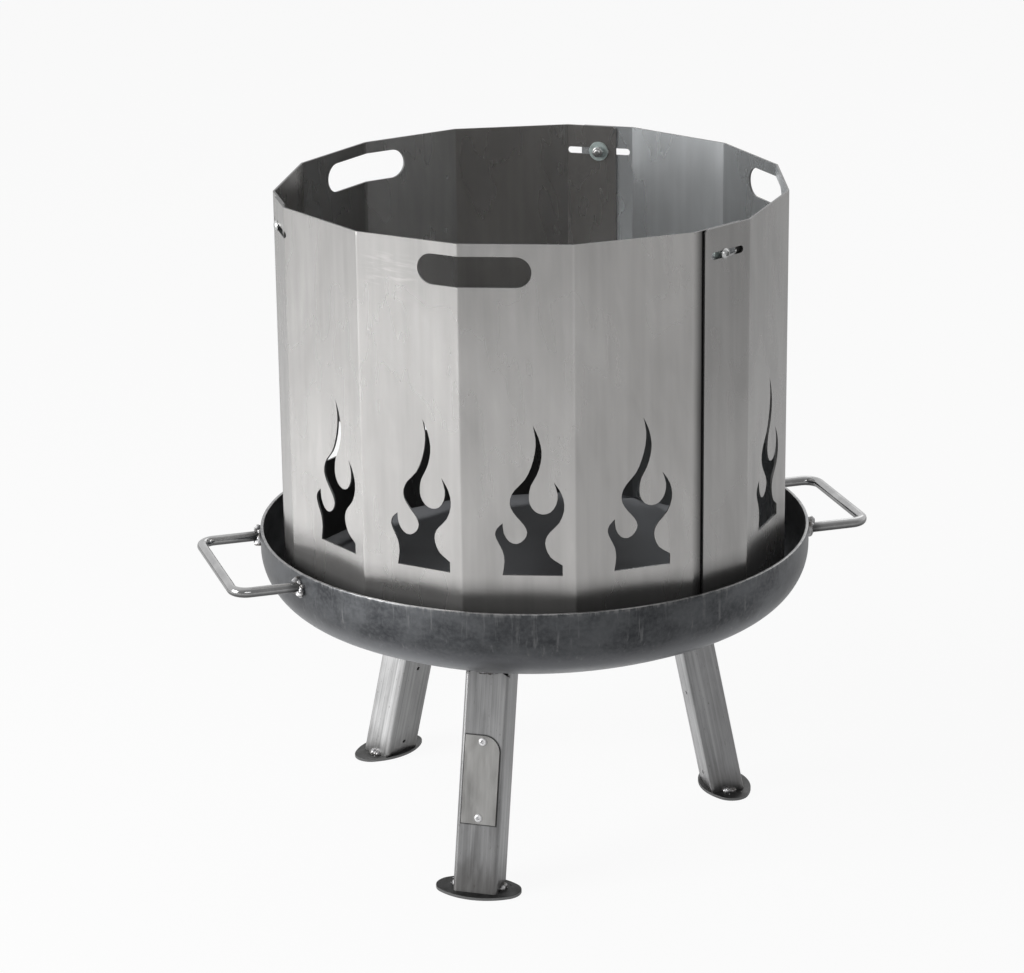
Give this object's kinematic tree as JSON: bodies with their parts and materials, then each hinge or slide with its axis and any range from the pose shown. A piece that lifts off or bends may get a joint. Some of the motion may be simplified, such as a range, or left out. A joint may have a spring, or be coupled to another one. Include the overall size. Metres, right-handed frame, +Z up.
{
  "type": "brazier",
  "caption": "Three-legged steel fire bowl with side handles and an adjustable, lift-off wind guard of folded sheets with flame cut-outs.",
  "frame": {"origin": "on the floor, under the middle of the bowl", "axes": "+Z up; +X to the right, through the middle fold of the guard's right sheet; +Y towards the back, so the front leg stands at 240 degrees from +X"},
  "size_m": [0.6705, 0.55, 0.661],
  "materials": {
    "bowl_plate": "dark hot-rolled steel with mill scale",
    "leg_tube": "bare rolled steel tube",
    "foot_plate": "dark rolled steel",
    "dark_weld": "dull weld bead",
    "handle_bar": "bright drawn bar",
    "bright_weld": "bright weld bead",
    "plate_sheet": "bare rolled sheet",
    "rivet_metal": "plain aluminium",
    "guard_sheet": "cold-rolled sheet with soft vertical streaks",
    "zinc": "zinc plated"
  },
  "bodies": {
    "brazier": {"bowl": "bowl_plate", "leg_front": "leg_tube", "leg_right": "leg_tube", "leg_left": "leg_tube", "foot_front": "foot_plate", "foot_right": "foot_plate", "foot_left": "foot_plate", "leg_weld_front": "dark_weld", "leg_weld_right": "dark_weld", "leg_weld_left": "dark_weld", "foot_welds_front": "bright_weld", "foot_welds_right": "bright_weld", "foot_welds_left": "bright_weld", "handle_left": "handle_bar", "handle_right": "handle_bar", "handle_welds_left": "bright_weld", "handle_welds_right": "bright_weld", "name_plate": "plate_sheet", "rivets": "rivet_metal"},
    "front_guard": {"wall_front": "guard_sheet", "bolt_left": "zinc", "washer_left": "zinc", "nut_left": "zinc", "bolt_right": "zinc", "washer_right": "zinc", "nut_right": "zinc"},
    "right_guard": {"wall_right": "guard_sheet", "bolt_back": "zinc", "washer_back": "zinc", "nut_back": "zinc"},
    "back_guard": {"wall_back": "guard_sheet"}
  },
  "joints": [
    {"name": "guard_lift", "type": "slide", "parent": "brazier", "child": "front_guard", "axis": [0, 0, 1], "range_m": [0, 0.15]},
    {"name": "guard_close", "type": "slide", "parent": "front_guard", "child": "right_guard", "axis": [-0.866, -0.5, 0], "range_m": [0, 0.006]},
    {"name": "guard_close_back", "type": "slide", "parent": "front_guard", "child": "back_guard", "axis": [0, -1, 0], "range_m": [0, 0.006]}
  ],
  "couplings": [
    {"joint": "guard_close_back", "follows": "guard_close", "ratio": 1}
  ]
}
